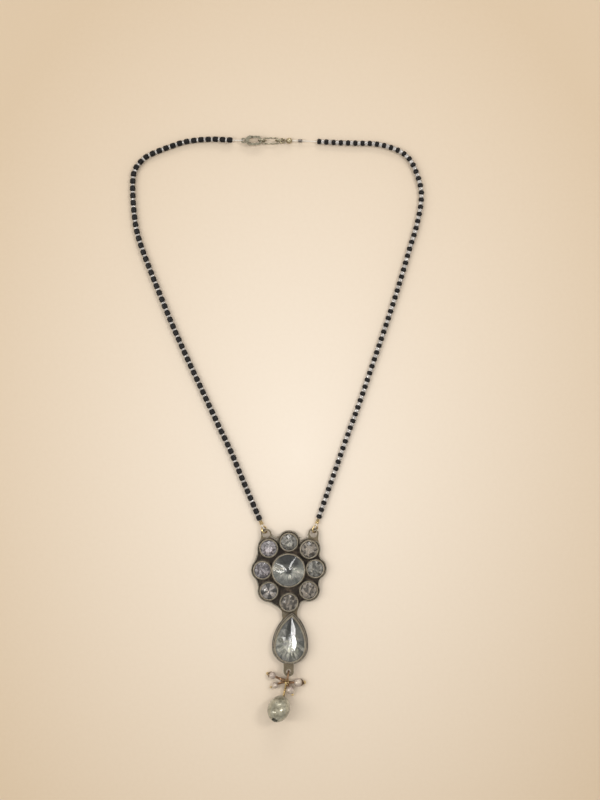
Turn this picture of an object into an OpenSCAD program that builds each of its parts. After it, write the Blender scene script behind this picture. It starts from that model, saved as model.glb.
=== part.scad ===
// Mangalsutra lying on its back: a loop of black beads, a flower and pear setting, and pearl drops.
// The floor is z = 0, +Y runs from the drops to the clasp, +Z is up out of the stones.

/* [Stones] */
// Diameter of the round petal stones
petal_stone_d = 7.2; // [6.4:0.2:7.8]
// Diameter of the pointed centre stone
centre_stone_d = 14; // [12.5:0.25:14.5]
// Width of the pear stone
pear_stone_w = 12.8; // [11:0.2:13.6]
// Distance from the centre of the pear stone's round end to its point
pear_stone_tip = 13.6; // [12:0.2:14.4]
// Height of a petal stone above its girdle
petal_crown_h = 1.1; // [0.8:0.1:1.6]
// Height of the centre stone above its girdle
centre_crown_h = 2.5; // [1.8:0.1:3.2]
// Height of the pear stone above its girdle
pear_crown_h = 1.9; // [1.4:0.1:2.6]

/* [Setting] */
// Radius of the circle that the petal cups stand on
petal_ring_r = 12.8; // [12.4:0.1:13.6]
// Thickness of the back plate
plate_t = 1.2; // [1:0.1:1.6]
// Height of the raised edge above the back plate
edge_h = 0.8; // [0.4:0.1:1.2]
// Width of the raised edge
edge_w = 0.45; // [0.3:0.05:0.6]
// Distance from a cup's wall to the outer edge of the plate
margin_w = 0.9; // [0.7:0.05:1.1]
// Thickness of the wall of a cup
cup_wall = 0.55; // [0.45:0.05:0.8]
// Height of the petal cups above the floor
petal_cup_h = 3.4; // [3.2:0.1:4]
// Height of the centre cup above the floor
centre_cup_h = 4.2; // [3.8:0.1:4.8]
// Height of the pear cup above the floor
pear_cup_h = 4.1; // [3.8:0.1:4.6]
// Height of the pear cup's thin wall above its broad rim
pear_step_h = 1; // [0.6:0.1:1.3]
// Width of the neck between the flower and the pear
neck_w = 6.5; // [5:0.25:8]
// Inner radius of the two eyes that the strands hang from
lug_hole_r = 1.55; // [1.5:0.05:1.7]
// Width of the metal round an eye
lug_wall = 0.9; // [0.7:0.05:1]
// Inner radius of the eye under the pear
tab_hole_r = 1.0; // [0.9:0.05:1.2]
// Radius of the rounded end of the tab under the pear
tab_r = 2.4; // [2.1:0.1:2.6]

/* [Strands] */
// Diameter of the black beads
bead_d = 2.5; // [2.2:0.05:2.7]
// Length of a black bead on the left side
left_bead_len = 2.35; // [1.8:0.05:2.5]
// Length of a black bead on the right side
right_bead_len = 1.7; // [1.3:0.05:2.2]
// Distance from one black bead to the next
bead_pitch = 3.25; // [3.05:0.05:3.6]
// Diameter of the hole drilled through a bead
bead_bore_d = 0.9; // [0.8:0.05:1.1]
// Diameter of the stringing thread
thread_d = 0.4; // [0.3:0.05:0.45]
// Length of bare thread on the right side beside the clasp
bare_len = 5.5; // [4.5:0.25:8]

/* [Clasp] */
// Length of the clasp from the middle of its eye to its nose
clasp_len = 8.3; // [8:0.1:9]
// Width of the clasp
clasp_w = 4.2; // [4:0.1:4.6]
// Thickness of the clasp
clasp_t = 1.6; // [1.4:0.05:1.7]
// Radius of the clasp's pivot pin
pivot_r = 0.3; // [0.25:0.01:0.34]
// Running gap between the pivot pin and the lever
pivot_gap = 0.05; // [0.03:0.01:0.08]

/* [Rings] */
// Mean radius of the jump rings at the two lugs
lug_ring_r = 1.5; // [1.45:0.05:1.6]
// Wire diameter of the lug rings and the drop ring
ring_wire_d = 0.7; // [0.6:0.02:0.74]
// Mean radius of the ring that carries the drops
drop_ring_r = 2.6; // [2.5:0.05:2.8]
// Mean radius of the round links at the clasp
link_r = 1.7; // [1.65:0.05:1.8]
// Wire diameter of the links at the clasp
link_wire_d = 0.6; // [0.5:0.02:0.62]

/* [Drops] */
// Diameter of the big pearl across its axis
big_pearl_d = 10; // [9:0.2:10.6]
// Length of the big pearl along its axis
big_pearl_len = 12.8; // [12:0.2:13.4]
// Wire diameter of the pins
pin_d = 0.4; // [0.34:0.02:0.42]
// Mean radius of the eye at the top of a pin
pin_eye_r = 0.75; // [0.72:0.01:0.78]
// Gap between a pearl's bore and its pin
pearl_gap = 0.13; // [0.1:0.01:0.2]

/* [Hidden] */

$fn = 48;
// Gap kept between a stone and its cup, and between pieces that lie on each other
fit = 0.1;
// Gap between the floor and the wire or bead that rests on it
rest_gap = 0.05;
bead_rest_gap = 0.02;
// Amount that joined metal runs into its neighbour
sink = 0.3;
// Number of sides of round wire's true curve
WIRE_SIDES = 24;

// Middle of the flower
FLOWER = [5.1, -63.7];
// The petals, anticlockwise from the top: [direction from the middle, share of petal_ring_r]
DIRECTION = 0;
REACH = 1;
PETALS = [[89, 0.98], [132, 1.03], [180, 0.91], [227, 1], [271, 1.13], [315, 1], [3, 0.94], [45, 1.03]];
LEFT_TOP_PETAL = 1;
BOTTOM_PETAL = 4;
RIGHT_TOP_PETAL = 7;

// Strand routes from the pendant to the clasp, [x, y, lift above the resting height]
LEFT_ROUTE = [
    [-8.1, -40.4, 0.1], [-14.5, -25.5, 0], [-20.7, -10.7, 0], [-26.5, 1.5, 0], [-33.1, 15.7, 0],
    [-40, 30.5, 0], [-46.8, 45.8, 0], [-53.2, 61.4, 0], [-58, 73.5, 0], [-61.3, 82.5, 0],
    [-63.3, 90, 0], [-64.4, 99.3, 0], [-64.8, 108.4, 0], [-64.2, 114.7, 0], [-62.2, 118.2, 0],
    [-58.7, 121.6, 0], [-53.5, 124.1, 0], [-47.7, 126.3, 0], [-41.8, 128.2, 0], [-35.3, 129.2, 0],
    [-28, 129.5, 0.1], [-23.5, 129.2, 0.6], [-19, 128.9, 0.8]];
RIGHT_ROUTE = [
    [18.9, -39.8, 0.1], [21.2, -33, 0], [25.8, -19.9, 0], [31.2, -4.5, 0], [36.9, 11, 0],
    [42.2, 26.5, 0], [47.7, 42.6, 0], [52.2, 56.1, 0], [56.4, 69.7, 0], [59.4, 80.1, 0],
    [61.9, 88, 0], [63.4, 94, 0], [64.5, 100, 0], [64.7, 106.4, 0], [63, 113.3, 0],
    [60, 119.8, 0], [56, 123.6, 0], [49.5, 126.3, 0], [43.2, 127.5, 0], [36.8, 127.7, 0],
    [26.6, 128, 0], [16.7, 128.6, 0], [12.2, 128.8, 0.1]];
ROUTE_STEPS = 6;

bead_r = bead_d / 2;
// Width of the bevel round a bead's ends
bead_bevel = bead_d * 0.16;
// Height of the middle of a resting bead
bead_z = bead_r + bead_rest_gap;
thread_r = thread_d / 2;
ring_wire_r = ring_wire_d / 2;
link_wire_r = link_wire_d / 2;
pin_r = pin_d / 2;

// Stones and cups
petal_stone_r = petal_stone_d / 2;
centre_stone_r = centre_stone_d / 2;
pear_stone_r = pear_stone_w / 2;
petal_cup_r = petal_stone_r + fit + cup_wall;
centre_cup_r = centre_stone_r + fit + cup_wall;
pocket_floor = 0.8;
girdle_drop = 0.25;
girdle_t = 0.3;
petal_margin_r = petal_cup_r + margin_w;
// Radius of the flat disc behind the centre cup
disc_r = petal_ring_r * 1.03;
// Gap between the lowest petal cup and the pear stone's point
neck_gap = 2.1;
pear_drop = petal_ring_r * PETALS[BOTTOM_PETAL][REACH] + petal_cup_r + neck_gap + pear_stone_tip;
PEAR = FLOWER + [0.7, -pear_drop];
pear_turn = -3.5;
// Radius of the arcs that run from the pear's round end to its point
pear_side_r = (pear_stone_r * pear_stone_r + pear_stone_tip * pear_stone_tip) / (2 * pear_stone_r);
pear_rim_w = 0.65;
pear_cup_grow = fit + cup_wall + pear_rim_w;
granule_r = 0.6;

// Lugs, left then right: [direction from the middle of the flower, distance outside the petal circle]
LUG_OUT = 1;
LUGS = [[121.8, 6.15], [55.5, 6.98]];
function lug_place(i) =
    FLOWER + (petal_ring_r + LUGS[i][LUG_OUT]) * [cos(LUGS[i][DIRECTION]), sin(LUGS[i][DIRECTION])];
LUG_LEFT = lug_place(0);
LUG_RIGHT = lug_place(1);
lug_r = lug_hole_r + lug_wall;
lug_t = 1.0;
lug_arm_w = lug_r * 1.6;
lug_ring_tilt = 50;
lug_ring_seat = 0.6;
lug_z = lug_ring_r * sin(lug_ring_tilt) + ring_wire_r + rest_gap;

// Webs of metal that round off the outline between two petals, and between a lug and a petal:
// [first petal, next petal, radius of the hollow] and [lug, petal, radius of the hollow, side of the web]
WEB_R = 2;
WEB_SIDE = 3;
PETAL_WEBS = [[1, 2, 15], [2, 3, 8], [3, 4, 18], [4, 5, 3], [5, 6, 5], [6, 7, 4]];
LUG_WEBS = [[0, 0, 2.4, -1], [0, 1, 10, 1], [1, 0, 2.6, 1], [1, 7, 14, -1]];
// Radius of the hollows in the two sides of the neck
neck_hollow_r = 5;
// How far a hollow's circle cuts into the round edges that it joins, so that they cross cleanly
web_bite = 0.1;
// Radius of the thread's loop in a lug ring, and the distance of its middle from the lug
lug_loop_r = 1.05;
lug_loop_slack = 0.05;
lug_loop_at = lug_ring_seat + 2 * lug_ring_r + lug_loop_slack;

// Tab under the pear, from the pear's middle
tab_shift = -0.6;
// Distance from the pear cup's outside to the middle of the tab's eye
tab_out = 3.1;
TAB = [PEAR[0] + tab_shift, PEAR[1] - pear_stone_r - pear_cup_grow - tab_out];
tab_z = drop_ring_r + ring_wire_r + fit;
// The drop ring stands upright and turns out to the left of the tab
drop_ring_turn = 10;
DROP_WAY = [-sin(drop_ring_turn), -cos(drop_ring_turn), 0];
DROP_RING = [TAB[0], TAB[1], tab_z] + DROP_WAY * drop_ring_r;

// Clasp, from the middle of its eye
clasp_z = link_r + link_wire_r + rest_gap;
CLASP = [-15.1, 128.8, clasp_z];
clasp_nose_r = clasp_w / 2;
clasp_nose_wall = 0.8;
clasp_side_wall = 0.95;
clasp_slot_r = clasp_nose_r - clasp_side_wall;
clasp_eye_r = 1.2;
clasp_eye_hole_r = 0.6;
clasp_eye_t = clasp_t / 2;
// Middle of the round end beside the eye, and of the nose
clasp_heel_x = clasp_nose_r + 1;
clasp_nose_x = clasp_len - clasp_nose_r;
clasp_slot_end_x = clasp_len - clasp_nose_wall - clasp_slot_r;
clasp_slot_start_x = 3.9;
pivot_x = 2.9;
PIVOT = [pivot_x, clasp_nose_r - clasp_side_wall / 2];
pivot_boss_r = 0.75;
lever_t = clasp_t / 2 - fit;
lever_tip_x = clasp_slot_end_x + 0.05;
lever_arm_t = clasp_side_wall;
// Radius of the thread's loop in the clasp's eye
clasp_loop_r = 1.1;
CLASP_LOOP = CLASP - [clasp_loop_r, 0, 0];

// Links beside the clasp
ring_seat = 0.15;
// Distance between the two upright rings
ring_pitch = 7.65;
RING_1 = CLASP + [clasp_len + ring_seat, 0, 0];
RING_2 = RING_1 + [ring_pitch, 0, 0];
link_reach = 0.38;
link_drop = 0.9;
link_bend_r = 1.3;
tip_eye_r = 1;
tip_ball_r = 1.35;
// Distance from the tip's eye to its ball, and from there to the crimp
tip_len = 3.1;
crimp_out = 4.9;
TIP_EYE = RING_2 + [link_reach + tip_eye_r, 0, -link_drop];
TIP_BALL = [TIP_EYE[0] + tip_len, CLASP[1], tip_ball_r];
CRIMP_AT = [TIP_BALL[0] + crimp_out, CLASP[1], tip_ball_r];
crimp_r = 0.75;
crimp_len = 1.8;

// Drops: [direction round the drop ring, pearl centre from the tab, pearl diameter, end ball radius]
EYE_TURN = 0;
PEARL_AT = 1;
PEARL_D = 2;
BALL_R = 3;
DROPS = [
    [48, [-7.3, -2.1], 3.4, 0.65],
    [-48, [-6.1, -6.6], 2.9, 0.5],
    [0, [0.7, -8.6], 3.8, 0.55],
    [24, [4.2, -5.2], 4.0, 0.85]];
// A pin's shaft is drawn a little thinner than its eye
shaft_r = pin_r * 0.92;
big_eye_turn = -24;
big_pearl_tilt = 38;
big_pearl_heading = 70;
big_pearl_r = big_pearl_d / 2;
big_pearl_half = big_pearl_len / 2;
// Half of the tilted pearl's height
big_pearl_rise = norm([big_pearl_half * sin(big_pearl_tilt), big_pearl_r * cos(big_pearl_tilt)]);
BIG_PEARL = [TAB[0] - 4.3, TAB[1] - 16.3, big_pearl_rise + fit];
big_pearl_bore_r = 0.6;
big_pearl_mouth_r = 1.3;
big_pearl_mouth_depth = 1.4;
// From the pearl's hole that faces up to the end that faces the pendant
BIG_AXIS = [
    cos(big_pearl_heading) * cos(big_pearl_tilt),
    sin(big_pearl_heading) * cos(big_pearl_tilt),
    -sin(big_pearl_tilt)];
BIG_TOP = BIG_PEARL + BIG_AXIS * (big_pearl_half + fit);
big_pin_kink_r = pin_r * 1.3;

// Unit vector along v
function along(v) = v / norm(v);

// Point of a smooth curve between p1 and p2
function curve_point(p0, p1, p2, p3, t) =
    0.5 * (2 * p1 + (p2 - p0) * t + (2 * p0 - 5 * p1 + 4 * p2 - p3) * t * t
        + (3 * p1 - p0 - 3 * p2 + p3) * t * t * t);

// The route with ROUTE_STEPS short steps between its points
function smooth_route(route) = [
    for (i = [0 : len(route) - 2])
        let (before = route[max(i - 1, 0)], after = route[min(i + 2, len(route) - 1)])
            for (s = [0 : ROUTE_STEPS - 1])
                curve_point(before, route[i], route[i + 1], after, s / ROUTE_STEPS),
    route[len(route) - 1]];

// Length along a path up to each of its points
function running_lengths(path) = [
    for (i = 0, sum = 0;
        i < len(path);
        sum = sum + (i + 1 < len(path) ? norm(path[i + 1] - path[i]) : 0), i = i + 1)
        sum];

// One column of a path against the length along it
function column(path, lengths, axis) = [for (i = [0 : len(path) - 1]) [lengths[i], path[i][axis]]];

// Points of a strand at each bead, from its route, with the resting height added
function bead_centres(route, count) =
    let (path = smooth_route(route), lengths = running_lengths(path),
        xs = column(path, lengths, 0), ys = column(path, lengths, 1), zs = column(path, lengths, 2))
        [for (k = [0 : count - 1])
            let (s = k * bead_pitch) [lookup(s, xs), lookup(s, ys), lookup(s, zs) + bead_z]];

function route_length(route) = let (sums = running_lengths(smooth_route(route))) sums[len(sums) - 1];

left_count = floor(route_length(LEFT_ROUTE) / bead_pitch) + 1;
right_count = floor((route_length(RIGHT_ROUTE) - bare_len) / bead_pitch) + 1;
LEFT_BEADS = bead_centres(LEFT_ROUTE, left_count);
RIGHT_BEADS = bead_centres(RIGHT_ROUTE, right_count);

// Direction from a lug to the first bead of its strand
function strand_way(lug_at, bead) = along([bead[0] - lug_at[0], bead[1] - lug_at[1], 0]);

LEFT_WAY = strand_way(LUG_LEFT, LEFT_BEADS[0]);
RIGHT_WAY = strand_way(LUG_RIGHT, RIGHT_BEADS[0]);
LEFT_LOOP = [LUG_LEFT[0], LUG_LEFT[1], lug_z] + LEFT_WAY * lug_loop_at;
RIGHT_LOOP = [LUG_RIGHT[0], LUG_RIGHT[1], lug_z] + RIGHT_WAY * lug_loop_at;

// Places and orients children so that their Z runs along direction
module aim(place, direction) {
    unit = along(direction);
    translate(place)
        rotate([0, acos(unit[2]), atan2(unit[1], unit[0])])
            children();
}

// Ring of round wire lying flat
module wire_ring(mean_r, wire_r) {
    rotate_extrude()
        translate([mean_r, 0])
            circle(r = wire_r, $fn = WIRE_SIDES);
}

module half_ring(mean_r, wire_r) {
    rotate_extrude(angle = 180)
        translate([mean_r, 0])
            circle(r = wire_r, $fn = WIRE_SIDES);
}

// Distance from the middle of the pear's round end to its outline, in a direction
function pear_reach(a) =
    sin(a) <= 0
        ? pear_stone_r
        : sqrt(pow(pear_side_r, 2) - pow((pear_side_r - pear_stone_r) * sin(a), 2))
            - (pear_side_r - pear_stone_r) * abs(cos(a));

// Facets of one cut stone. mains is the number of main facets, and reach gives the girdle
// radius in each of 2 * mains directions. Rings run table, star points, girdle, girdle,
// lower points, culet.
function stone_ring(reach, share, z, mains, middle, shift) = [
    for (k = [0 : mains - 1])
        let (a = (k + shift) * 360 / mains,
            r = reach[round(2 * (k + shift)) % (2 * mains)],
            at = [cos(a), sin(a)] * r * share + middle * (1 - share))
            [at[0], at[1], z]];

function girdle_ring(reach, z, mains) = [
    for (j = [0 : 2 * mains - 1])
        let (a = j * 180 / mains) [cos(a) * reach[j], sin(a) * reach[j], z]];

module cut_stone(reach, mains, girdle_z, crown_h, pavilion_h, table, star, culet, middle) {
    // A star point lies a little under the straight line from the table to the girdle
    star_drop = (star - table) / (1 - table) * 0.85;
    lower = 0.45;
    top_z = girdle_z + crown_h;
    bottom_z = girdle_z - girdle_t - pavilion_h;
    points = concat(
        stone_ring(reach, table, top_z, mains, middle, 0),
        stone_ring(reach, star, top_z - crown_h * star_drop, mains, middle, 0.5),
        girdle_ring(reach, girdle_z, mains),
        girdle_ring(reach, girdle_z - girdle_t, mains),
        stone_ring(reach, lower, bottom_z + pavilion_h * lower * 0.85, mains, middle, 0.5),
        stone_ring(reach, culet, bottom_z, mains, middle, 0));
    n = mains;
    table_0 = 0;
    star_0 = n;
    upper_0 = 2 * n;
    under_0 = 4 * n;
    lower_0 = 6 * n;
    culet_0 = 7 * n;
    faces = concat(
        [[for (k = [n - 1 : -1 : 0]) table_0 + k]],
        [for (k = [0 : n - 1]) [table_0 + k, table_0 + (k + 1) % n, star_0 + k]],
        [for (k = [0 : n - 1]) [table_0 + (k + 1) % n, upper_0 + (2 * k + 2) % (2 * n), star_0 + k]],
        [for (k = [0 : n - 1]) [table_0 + k, star_0 + k, upper_0 + 2 * k]],
        [for (k = [0 : n - 1]) [star_0 + k, upper_0 + 2 * k + 1, upper_0 + 2 * k]],
        [for (k = [0 : n - 1]) [star_0 + k, upper_0 + (2 * k + 2) % (2 * n), upper_0 + 2 * k + 1]],
        [for (j = [0 : 2 * n - 1])
            [upper_0 + j, upper_0 + (j + 1) % (2 * n), under_0 + (j + 1) % (2 * n), under_0 + j]],
        [for (k = [0 : n - 1]) [lower_0 + k, under_0 + 2 * k, under_0 + 2 * k + 1]],
        [for (k = [0 : n - 1]) [lower_0 + k, under_0 + 2 * k + 1, under_0 + (2 * k + 2) % (2 * n)]],
        [for (k = [0 : n - 1]) [culet_0 + k, under_0 + 2 * k, lower_0 + k]],
        [for (k = [0 : n - 1]) [culet_0 + (k + 1) % n, lower_0 + k, under_0 + (2 * k + 2) % (2 * n)]],
        [for (k = [0 : n - 1]) [culet_0 + (k + 1) % n, culet_0 + k, lower_0 + k]],
        [[for (k = [0 : n - 1]) culet_0 + k]]);
    polyhedron(points, faces);
}

function round_reach(r, mains) = [for (j = [1 : 2 * mains]) r];

function petal_at(i) =
    FLOWER + petal_ring_r * PETALS[i][REACH] * [cos(PETALS[i][DIRECTION]), sin(PETALS[i][DIRECTION])];

module petal_stone(i) {
    mains = 8;
    girdle_z = petal_cup_h - girdle_drop;
    color("lavender")
        translate(petal_at(i))
            rotate(PETALS[i][DIRECTION])
                cut_stone(round_reach(petal_stone_r, mains), mains, girdle_z, petal_crown_h,
                    girdle_z - girdle_t - pocket_floor - fit,
                    table = 0.5, star = 0.75, culet = 0.08, middle = [0, 0]);
}

module centre_stone() {
    mains = 12;
    girdle_z = centre_cup_h - girdle_drop;
    color("lightcyan")
        translate(FLOWER)
            cut_stone(round_reach(centre_stone_r, mains), mains, girdle_z, centre_crown_h,
                girdle_z - girdle_t - pocket_floor - fit,
                table = 0.1, star = 0.5, culet = 0.05, middle = [0, 0]);
}

module pear_stone() {
    mains = 12;
    girdle_z = pear_cup_h - girdle_drop;
    color("azure")
        translate(PEAR)
            rotate(pear_turn)
                cut_stone([for (j = [0 : 2 * mains - 1]) pear_reach(j * 180 / mains)], mains, girdle_z,
                    pear_crown_h, girdle_z - girdle_t - pocket_floor - fit,
                    table = 0.45, star = 0.72, culet = 0.08, middle = [0, pear_stone_tip / 6]);
}

// Pear shaped block of height h whose outline lies grow outside the stone's
module pear_block(grow, h) {
    side_x = pear_side_r - pear_stone_r;
    cylinder(r = pear_stone_r + grow, h = h);
    intersection() {
        translate([side_x, 0, 0]) cylinder(r = pear_side_r + grow, h = h, $fn = 96);
        translate([-side_x, 0, 0]) cylinder(r = pear_side_r + grow, h = h, $fn = 96);
        translate([-pear_stone_w, 0, 0]) cube([2 * pear_stone_w, 2 * pear_stone_tip, h]);
    }
}

// Cup with a bevelled lip
module cup(r, h) {
    lip = cup_wall / 3;
    rotate_extrude()
        polygon([[0, 0], [r, 0], [r, h - lip], [r - lip, h], [0, h]]);
}

// Eye with an arm back to the cup that carries it
module lug(at, cup_at) {
    reach = norm(cup_at - at);
    translate([at[0], at[1], lug_z - lug_t / 2]) {
        cylinder(r = lug_r, h = lug_t);
        rotate(atan2(cup_at[1] - at[1], cup_at[0] - at[0]))
            translate([0, -lug_arm_w / 2, 0])
                cube([reach - petal_stone_r - fit - cup_wall / 2, lug_arm_w, lug_t]);
    }
}

// Middle of the circle of radius r that touches the circles (a, ra) and (b, rb) from outside.
// It is on the right of the way from a to b if side is 1, and on the left if side is -1.
function hollow_centre(a, ra, b, rb, r, side) =
    let (way = along(b - a),
        from_a = ra + r - web_bite,
        from_b = rb + r - web_bite,
        x = (pow(from_a, 2) - pow(from_b, 2) + pow(norm(b - a), 2)) / (2 * norm(b - a)))
        a + way * x + side * [way[1], -way[0]] * sqrt(pow(from_a, 2) - x * x);

// Web between the points a and b, hollowed by a circle of radius r about c
module web(a, b, c, r, h) {
    difference() {
        linear_extrude(h) polygon([a, c, b]);
        translate([c[0], c[1], -fit]) cylinder(r = r, h = h + 2 * fit);
    }
}

// The flower's outline, drawn in by inset: the rounds of the petals, the disc and the webs
module flower_outline(inset, h) {
    for (i = [0 : len(PETALS) - 1])
        translate(petal_at(i)) cylinder(r = petal_margin_r - inset, h = h);
    translate(FLOWER) cylinder(r = disc_r - inset, h = h);
    for (w = PETAL_WEBS) {
        a = petal_at(w[0]);
        b = petal_at(w[1]);
        c = hollow_centre(a, petal_margin_r, b, petal_margin_r, w[WEB_R], 1);
        web(a, b, c, w[WEB_R] + inset, h);
    }
}

// Flat back of the flower with a raised edge round it
module flower_plate() {
    difference() {
        flower_outline(0, plate_t + edge_h);
        translate([0, 0, plate_t]) flower_outline(edge_w, petal_cup_h);
    }
}

// Webs from the lugs to the edges of the petals beside them
module lug_webs() {
    translate([0, 0, lug_z - lug_t / 2])
        for (w = LUG_WEBS) {
            a = lug_place(w[0]);
            b = petal_at(w[1]);
            c = hollow_centre(a, lug_r, b, petal_margin_r, w[WEB_R], w[WEB_SIDE]);
            difference() {
                web(a, b, c, w[WEB_R], lug_t);
                translate([b[0], b[1], -fit])
                    cylinder(r = petal_margin_r - edge_w / 2, h = lug_t + 2 * fit);
            }
        }
}

// Bar between the lowest petal and the pear, with hollow sides and two granules on it
module neck() {
    petal = petal_at(BOTTOM_PETAL);
    start_y = PEAR[1] + pear_stone_tip - sink;
    pear_outside_r = pear_side_r + pear_cup_grow + margin_w / 2;
    for (side = [-1, 1]) {
        // Middle of the arc that makes the pear's outline on this side
        arc_at = PEAR - side * (pear_side_r - pear_stone_r) * [cos(pear_turn), sin(pear_turn)];
        c = hollow_centre(petal, petal_margin_r, arc_at, pear_outside_r, neck_hollow_r, -side);
        inside = c + along(arc_at - c) * (neck_hollow_r + neck_w / 2);
        web(petal, inside, c, neck_hollow_r, plate_t + edge_h);
    }
    translate([petal[0] - neck_w / 2, start_y, 0])
        cube([neck_w, petal[1] - petal_stone_r - sink - start_y, plate_t + edge_h]);
    for (side = [-1, 1])
        translate([petal[0] + side * neck_w / 4, petal[1] - petal_cup_r - margin_w / 2, plate_t + edge_h])
            sphere(r = granule_r);
}

// Tab under the pear, before its eye is drilled
module tab() {
    translate([TAB[0], TAB[1], tab_z - lug_t / 2]) {
        cylinder(r = tab_r, h = lug_t);
        translate([-tab_r, 0, 0])
            cube([2 * tab_r, PEAR[1] - pear_stone_r - cup_wall - TAB[1], lug_t]);
    }
}

// Pockets for the stones
module pockets() {
    for (i = [0 : len(PETALS) - 1])
        translate([petal_at(i)[0], petal_at(i)[1], pocket_floor])
            cylinder(r = petal_stone_r + fit, h = petal_cup_h);
    translate([FLOWER[0], FLOWER[1], pocket_floor])
        cylinder(r = centre_stone_r + fit, h = centre_cup_h);
    translate([PEAR[0], PEAR[1], pocket_floor])
        rotate(pear_turn)
            pear_block(fit, pear_cup_h);
}

module pendant_setting() {
    color("darkkhaki")
        difference() {
            union() {
                flower_plate();
                for (i = [0 : len(PETALS) - 1])
                    translate(petal_at(i)) cup(petal_cup_r, petal_cup_h);
                translate(FLOWER) cup(centre_cup_r, centre_cup_h);
                translate(PEAR) rotate(pear_turn) pear_block(pear_cup_grow + margin_w / 2, plate_t);
                translate(PEAR) rotate(pear_turn) pear_block(pear_cup_grow, pear_cup_h - pear_step_h);
                translate(PEAR) rotate(pear_turn) pear_block(fit + cup_wall, pear_cup_h);
                neck();
                lug(LUG_LEFT, petal_at(LEFT_TOP_PETAL));
                lug(LUG_RIGHT, petal_at(RIGHT_TOP_PETAL));
                lug_webs();
                tab();
            }
            pockets();
            for (at = [LUG_LEFT, LUG_RIGHT])
                translate([at[0], at[1], 0]) cylinder(r = lug_hole_r, h = petal_cup_h);
            translate([TAB[0], TAB[1], 0]) cylinder(r = tab_hole_r, h = pear_cup_h);
        }
}

// Jump ring through a lug, leaning over towards one side
module lug_ring(lug_at, bead) {
    way = strand_way(lug_at, bead);
    color("goldenrod")
        translate([lug_at[0], lug_at[1], lug_z] + way * (lug_ring_seat + lug_ring_r))
            rotate(atan2(way[1], way[0]))
                rotate([lug_ring_tilt, 0, 0])
                    wire_ring(lug_ring_r, ring_wire_r);
}

// Points of a thread loop in the upright plane along way. It starts on the side of the strand
// and turns most of the way round.
function loop_points(middle, way, r) = [
    for (a = [340 : -30 : 40]) middle - way * r * cos(a - 180) + [0, 0, r * sin(a - 180)]];

// Round tube through points, one ring of sides at each
function ring_at(points, i, sides) =
    let (last = len(points) - 1,
        way = along(points[min(i + 1, last)] - points[max(i - 1, 0)]),
        flat = along([-way[1], way[0], 0]),
        up = cross(way, flat))
        [for (k = [0 : sides - 1])
            points[i] + thread_r * (cos(k * 360 / sides) * flat + sin(k * 360 / sides) * up)];

module thread_tube(points) {
    sides = 6;
    rings = len(points);
    shell = [for (i = [0 : rings - 1]) each ring_at(points, i, sides)];
    faces = concat(
        [[for (k = [sides - 1 : -1 : 0]) k]],
        [for (i = [0 : rings - 2], k = [0 : sides - 1])
            let (a = i * sides + k, b = i * sides + (k + 1) % sides) [a, b, b + sides, a + sides]],
        [[for (k = [0 : sides - 1]) (rings - 1) * sides + k]]);
    color("whitesmoke") polyhedron(shell, [for (f = faces) [for (k = [len(f) - 1 : -1 : 0]) f[k]]]);
}

module bead_string(centres, length) {
    last = len(centres) - 1;
    half = length / 2;
    bore_r = bead_bore_d / 2;
    color([0.07, 0.07, 0.08])
        for (i = [0 : last])
            aim(centres[i], centres[min(i + 1, last)] - centres[max(i - 1, 0)])
                rotate_extrude()
                    polygon([[bore_r, -half], [bead_r - bead_bevel, -half], [bead_r, bead_bevel - half],
                        [bead_r, half - bead_bevel], [bead_r - bead_bevel, half], [bore_r, half]]);
}

// Outside of the clasp: a bar with round ends, and the eye at its heel
module clasp_outside() {
    translate([0, 0, -clasp_t / 2]) {
        translate([clasp_heel_x, 0, 0]) cylinder(r = clasp_nose_r, h = clasp_t);
        translate([clasp_nose_x, 0, 0]) cylinder(r = clasp_nose_r, h = clasp_t);
        translate([clasp_heel_x, -clasp_nose_r, 0]) cube([clasp_nose_x - clasp_heel_x, clasp_w, clasp_t]);
    }
    translate([0, 0, -clasp_eye_t / 2]) {
        cylinder(r = clasp_eye_r, h = clasp_eye_t);
        translate([0, -clasp_eye_r / 2, 0]) cube([clasp_nose_r, clasp_eye_r, clasp_eye_t]);
    }
}

// What is cut from the clasp: the eye's hole, the long slot, and the side where the lever closes
module clasp_cuts() {
    jaw_x = pivot_x + pivot_boss_r;
    translate([0, 0, -clasp_t]) {
        cylinder(r = clasp_eye_hole_r, h = 2 * clasp_t);
        translate([clasp_slot_start_x, 0, 0]) cylinder(r = clasp_slot_r, h = 2 * clasp_t);
        translate([clasp_slot_end_x, 0, 0]) cylinder(r = clasp_slot_r, h = 2 * clasp_t);
        translate([clasp_slot_start_x, -clasp_slot_r, 0])
            cube([clasp_slot_end_x - clasp_slot_start_x, 2 * clasp_slot_r, 2 * clasp_t]);
        translate([jaw_x, 0, 0]) cube([lever_tip_x + fit - jaw_x, clasp_w, 2 * clasp_t]);
    }
    // Room for the lever between the two cheeks
    translate([pivot_x - pivot_boss_r - fit, PIVOT[1] - pivot_boss_r - fit, -(lever_t + fit) / 2])
        cube([clasp_slot_end_x, clasp_w, lever_t + fit]);
}

module clasp_body() {
    color("silver")
        translate(CLASP) {
            difference() {
                clasp_outside();
                clasp_cuts();
            }
            translate([pivot_x, PIVOT[1], -clasp_t / 2]) cylinder(r = pivot_r, h = clasp_t);
        }
}

module clasp_lever() {
    color("gainsboro")
        translate(CLASP)
            difference() {
                translate([pivot_x, 0, -lever_t / 2]) {
                    translate([0, PIVOT[1], 0]) cylinder(r = pivot_boss_r - fit, h = lever_t);
                    translate([0, clasp_nose_r - lever_arm_t, 0])
                        cube([lever_tip_x - pivot_x, lever_arm_t, lever_t]);
                }
                translate([pivot_x, PIVOT[1], -clasp_t]) cylinder(r = pivot_r + pivot_gap, h = 2 * clasp_t);
            }
}

module upright_ring(at) {
    color("silver") translate(at) rotate([90, 0, 0]) wire_ring(link_r, link_wire_r);
}

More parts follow.
